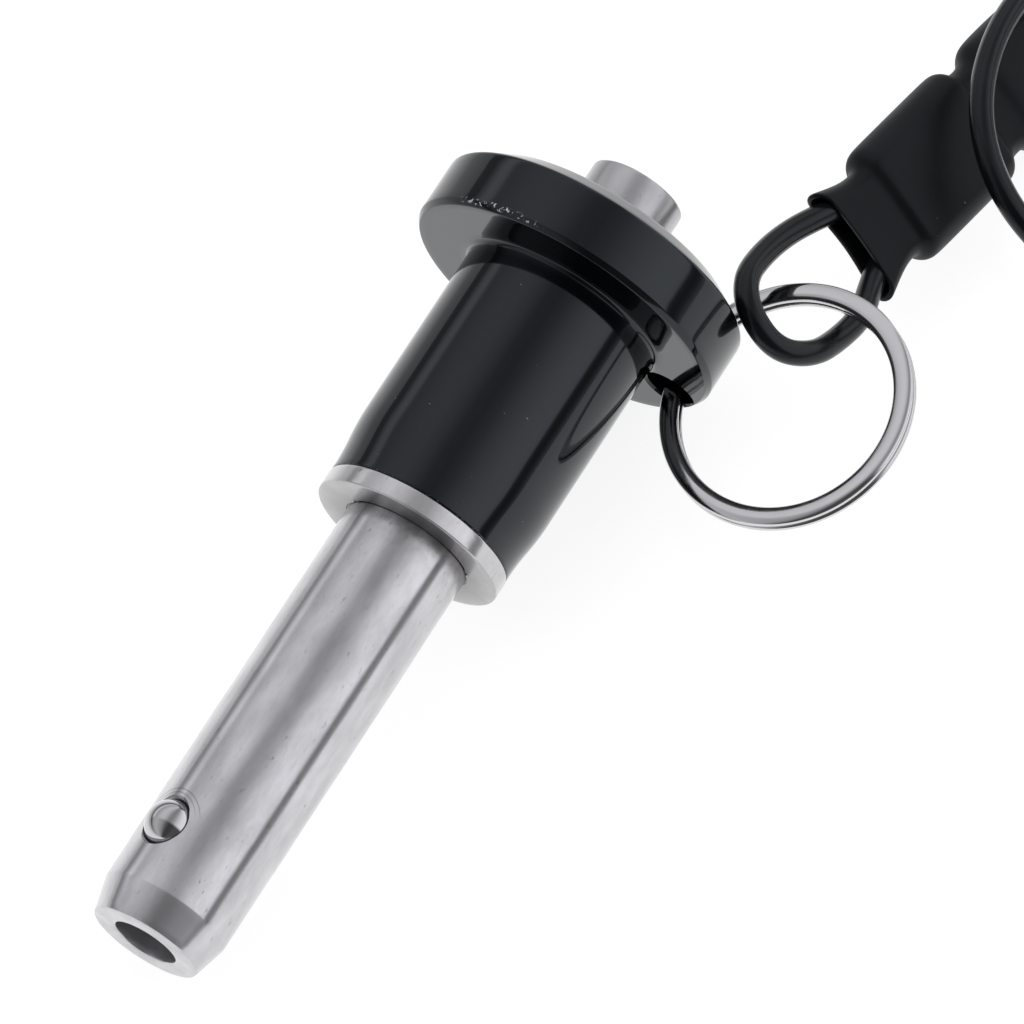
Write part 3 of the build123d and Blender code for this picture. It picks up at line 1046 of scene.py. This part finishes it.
cable_vinyl = soft_black("cable_vinyl", (0.005, 0.0052, 0.006), 0.24, 0.3, 0.2, 1200.0, 0.79)
shrink = soft_black("shrink_sleeve", (0.0075, 0.008, 0.0092), 0.48, 0.17, 0.35, 2600.0, 0.77)
for piece in cables:
    cover(piece, cable_vinyl)
for piece in (near_sleeve, far_sleeve):
    cover(piece, shrink)

ferrule_alloy, ferrule_shader = finish("ferrule_alloy", (0.42, 0.41, 0.39), 1.0, 0.45)
bumped(ferrule_alloy, ferrule_shader,
       noise(ferrule_alloy, add(ferrule_alloy, "ShaderNodeTexCoord").outputs["Object"], 1500.0),
       0.3, 0.00004)
for node in ("near_ferrule", "second_ferrule", "far_ferrule"):
    cover(frame["nodes"][node], ferrule_alloy)
print("materials", len(bpy.data.materials))

# %% [markdown]
# ## Floor
#
# A pale sweep under the pin. What the camera and the metal see of it is lifted to white by a
# Light Path switch, while the part that answers to light still darkens under the object, and
# so a faint shadow stays. In reflections the sweep falls off to grey on its far side.

# %% Pale floor
floor_bm = bmesh.new()
bmesh.ops.create_grid(floor_bm, x_segments=1, y_segments=1, size=4.0)
floor_mesh = bpy.data.meshes.new("floor")
floor_bm.to_mesh(floor_mesh)
floor_bm.free()
floor = bpy.data.objects.new("floor", floor_mesh)
scene.collection.objects.link(floor)
pale = bpy.data.materials.new("pale_sweep")
pale.use_nodes = True
pale.node_tree.nodes.clear()
ground = add(pale, "ShaderNodeBsdfDiffuse", Color=(0.32, 0.32, 0.32, 1))
glow = add(pale, "ShaderNodeEmission", Color=(1, 1, 1, 1))
ray = add(pale, "ShaderNodeLightPath").outputs
floor_spot = add(pale, "ShaderNodeTexCoord").outputs["Object"]
across = coordinates(pale, floor_spot)["Y"]
in_mirror = spread(pale, across, 0.035, 0.1, 0.98, 0.42)
in_metal = spread(pale, ray["Is Glossy Ray"], 0.0, 1.0, 0.0, in_mirror)
in_view = spread(pale, ray["Is Camera Ray"], 0.0, 1.0, in_metal, 0.86)
plug(pale, in_view, glow.inputs["Strength"])
both = pale.node_tree.nodes.new("ShaderNodeAddShader")
plug(pale, ground.outputs[0], both.inputs[0])
plug(pale, glow.outputs[0], both.inputs[1])
surface = add(pale, "ShaderNodeOutputMaterial")
plug(pale, both.outputs[0], surface.inputs["Surface"])
cover(floor, pale)
print("floor of", floor.dimensions.x, "m")

# %% [markdown]
# ## Studio
#
# Black gloss and polished steel show the room, so the room is what gives them their look. The
# world is drawn as long strip lights beside the pin: its brightness follows the angle about
# the pin's axis, with a darker gap overhead and a darker corner towards the viewer. A large
# soft lamp that mirrors can't see brings the light on matt surfaces up to a plain level.

# %% World as strips about the pin
world = bpy.data.worlds.new("studio")
scene.world = world
world.use_nodes = True
world.node_tree.nodes.clear()
direction = add(world, "ShaderNodeTexCoord").outputs["Generated"]


def dot(vector):
    """How far a direction in the room points along a vector."""
    node = world.node_tree.nodes.new("ShaderNodeVectorMath")
    node.operation = "DOT_PRODUCT"
    plug(world, direction, node.inputs[0])
    node.inputs[1].default_value = vector
    return node.outputs["Value"]


turn = maths(world, "ARCTAN2", dot(pin_side), dot(pin_up))
share = spread(world, turn, -pi, pi, 0.0, 1.0)
cool_tint = 1.03


def strips(levels):
    """Ramp of grey levels against the angle about the pin, in degrees."""
    ramp = world.node_tree.nodes.new("ShaderNodeValToRGB")
    plug(world, share, ramp.inputs["Fac"])
    stops = ramp.color_ramp.elements
    while len(stops) > 1:
        stops.remove(stops[-1])
    stops[0].position = 0.0
    stops[0].color = (levels[0][1],) * 3 + (1,)
    for angle, level in levels[1:]:
        stop = stops.new((angle + 180) / 360)
        stop.color = (level, level, level * cool_tint, 1)
    return ramp.outputs["Color"]


beside = strips([
    (-180, 1.1), (-100, 0.29), (-92, 0.22), (-85, 0.22), (-80, 0.62), (-76, 0.95), (-71, 0.97),
    (-68, 0.56), (-64, 0.53), (-52, 0.71), (-40, 0.83), (-28, 0.84), (-16, 0.68), (-4, 0.4),
    (8, 0.36), (20, 0.52), (32, 0.83), (44, 1.08), (56, 1.25), (70, 1.29), (76, 1.19),
    (79, 0.22), (84, 0.13), (88, 0.23), (92, 0.54), (110, 0.99), (180, 1.1),
])
towards_viewer = strips([
    (-180, 0.85), (-100, 0.27), (-92, 0.14), (-82, 0.14), (-70, 0.58), (-52, 0.67), (-36, 0.55),
    (-20, 0.42), (-8, 0.21), (4, 0.09), (12, 0.07), (28, 0.08), (44, 0.12), (60, 0.11),
    (76, 0.17), (90, 0.48), (110, 0.73), (180, 0.85),
])
ahead_share = spread(world, dot(pin_axis), -0.18, 0.0, 1.0, 0.0)
level = mixed(world, ahead_share, beside, towards_viewer)
air = add(world, "ShaderNodeBackground", Color=level)
out = add(world, "ShaderNodeOutputWorld")
plug(world, air.outputs[0], out.inputs["Surface"])
print("strip lights drawn about the pin's axis")

# %% Soft lamp for the matt surfaces
lamp = bpy.data.lights.new("overhead", "AREA")
lamp.shape = "DISK"
lamp.size = 1.6
lamp.energy = 5.0
overhead = bpy.data.objects.new("overhead", lamp)
scene.collection.objects.link(overhead)
overhead.location = (-0.2, 0.5, 1.6)
overhead.rotation_mode = "QUATERNION"
overhead.rotation_quaternion = (Vector() - overhead.location).to_track_quat("-Z", "Y")
overhead.visible_glossy = False
scene.view_settings.view_transform = "Standard"
print("lamp of", lamp.energy, "W")

# %% [markdown]
# ## Last update
#
# The dressed piece must fill the same box as the imported model. The view layer is brought up
# to date before the scene is closed.

# %% Update the view layer
bpy.context.view_layer.update()
